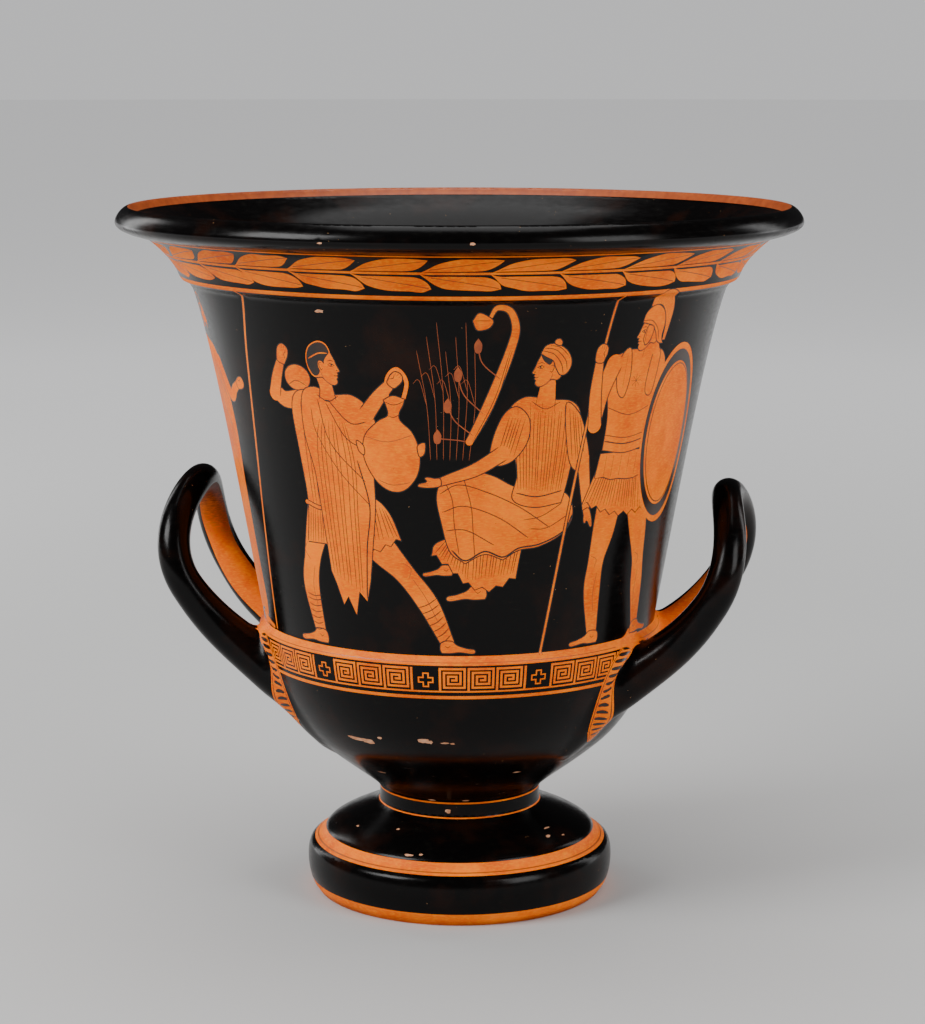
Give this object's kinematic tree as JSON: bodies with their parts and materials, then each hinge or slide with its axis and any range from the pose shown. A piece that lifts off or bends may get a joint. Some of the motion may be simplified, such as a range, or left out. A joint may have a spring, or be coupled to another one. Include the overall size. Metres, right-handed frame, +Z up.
{
  "type": "calyx krater",
  "caption": "Wheel-thrown pottery mixing bowl with a flaring mouth, low upturned loop handles and a stepped pedestal foot.",
  "frame": {"origin": "centre of the foot's resting ring, on the plane it stands on", "axes": "+Z up the turning axis, X through the two handles, -Y towards the front picture"},
  "size_m": [0.46, 0.46, 0.472],
  "materials": {
    "black_gloss": "fired black gloss with reserved orange clay bands and figures"
  },
  "bodies": {
    "root": {"krater": "black_gloss"}
  },
  "joints": []
}
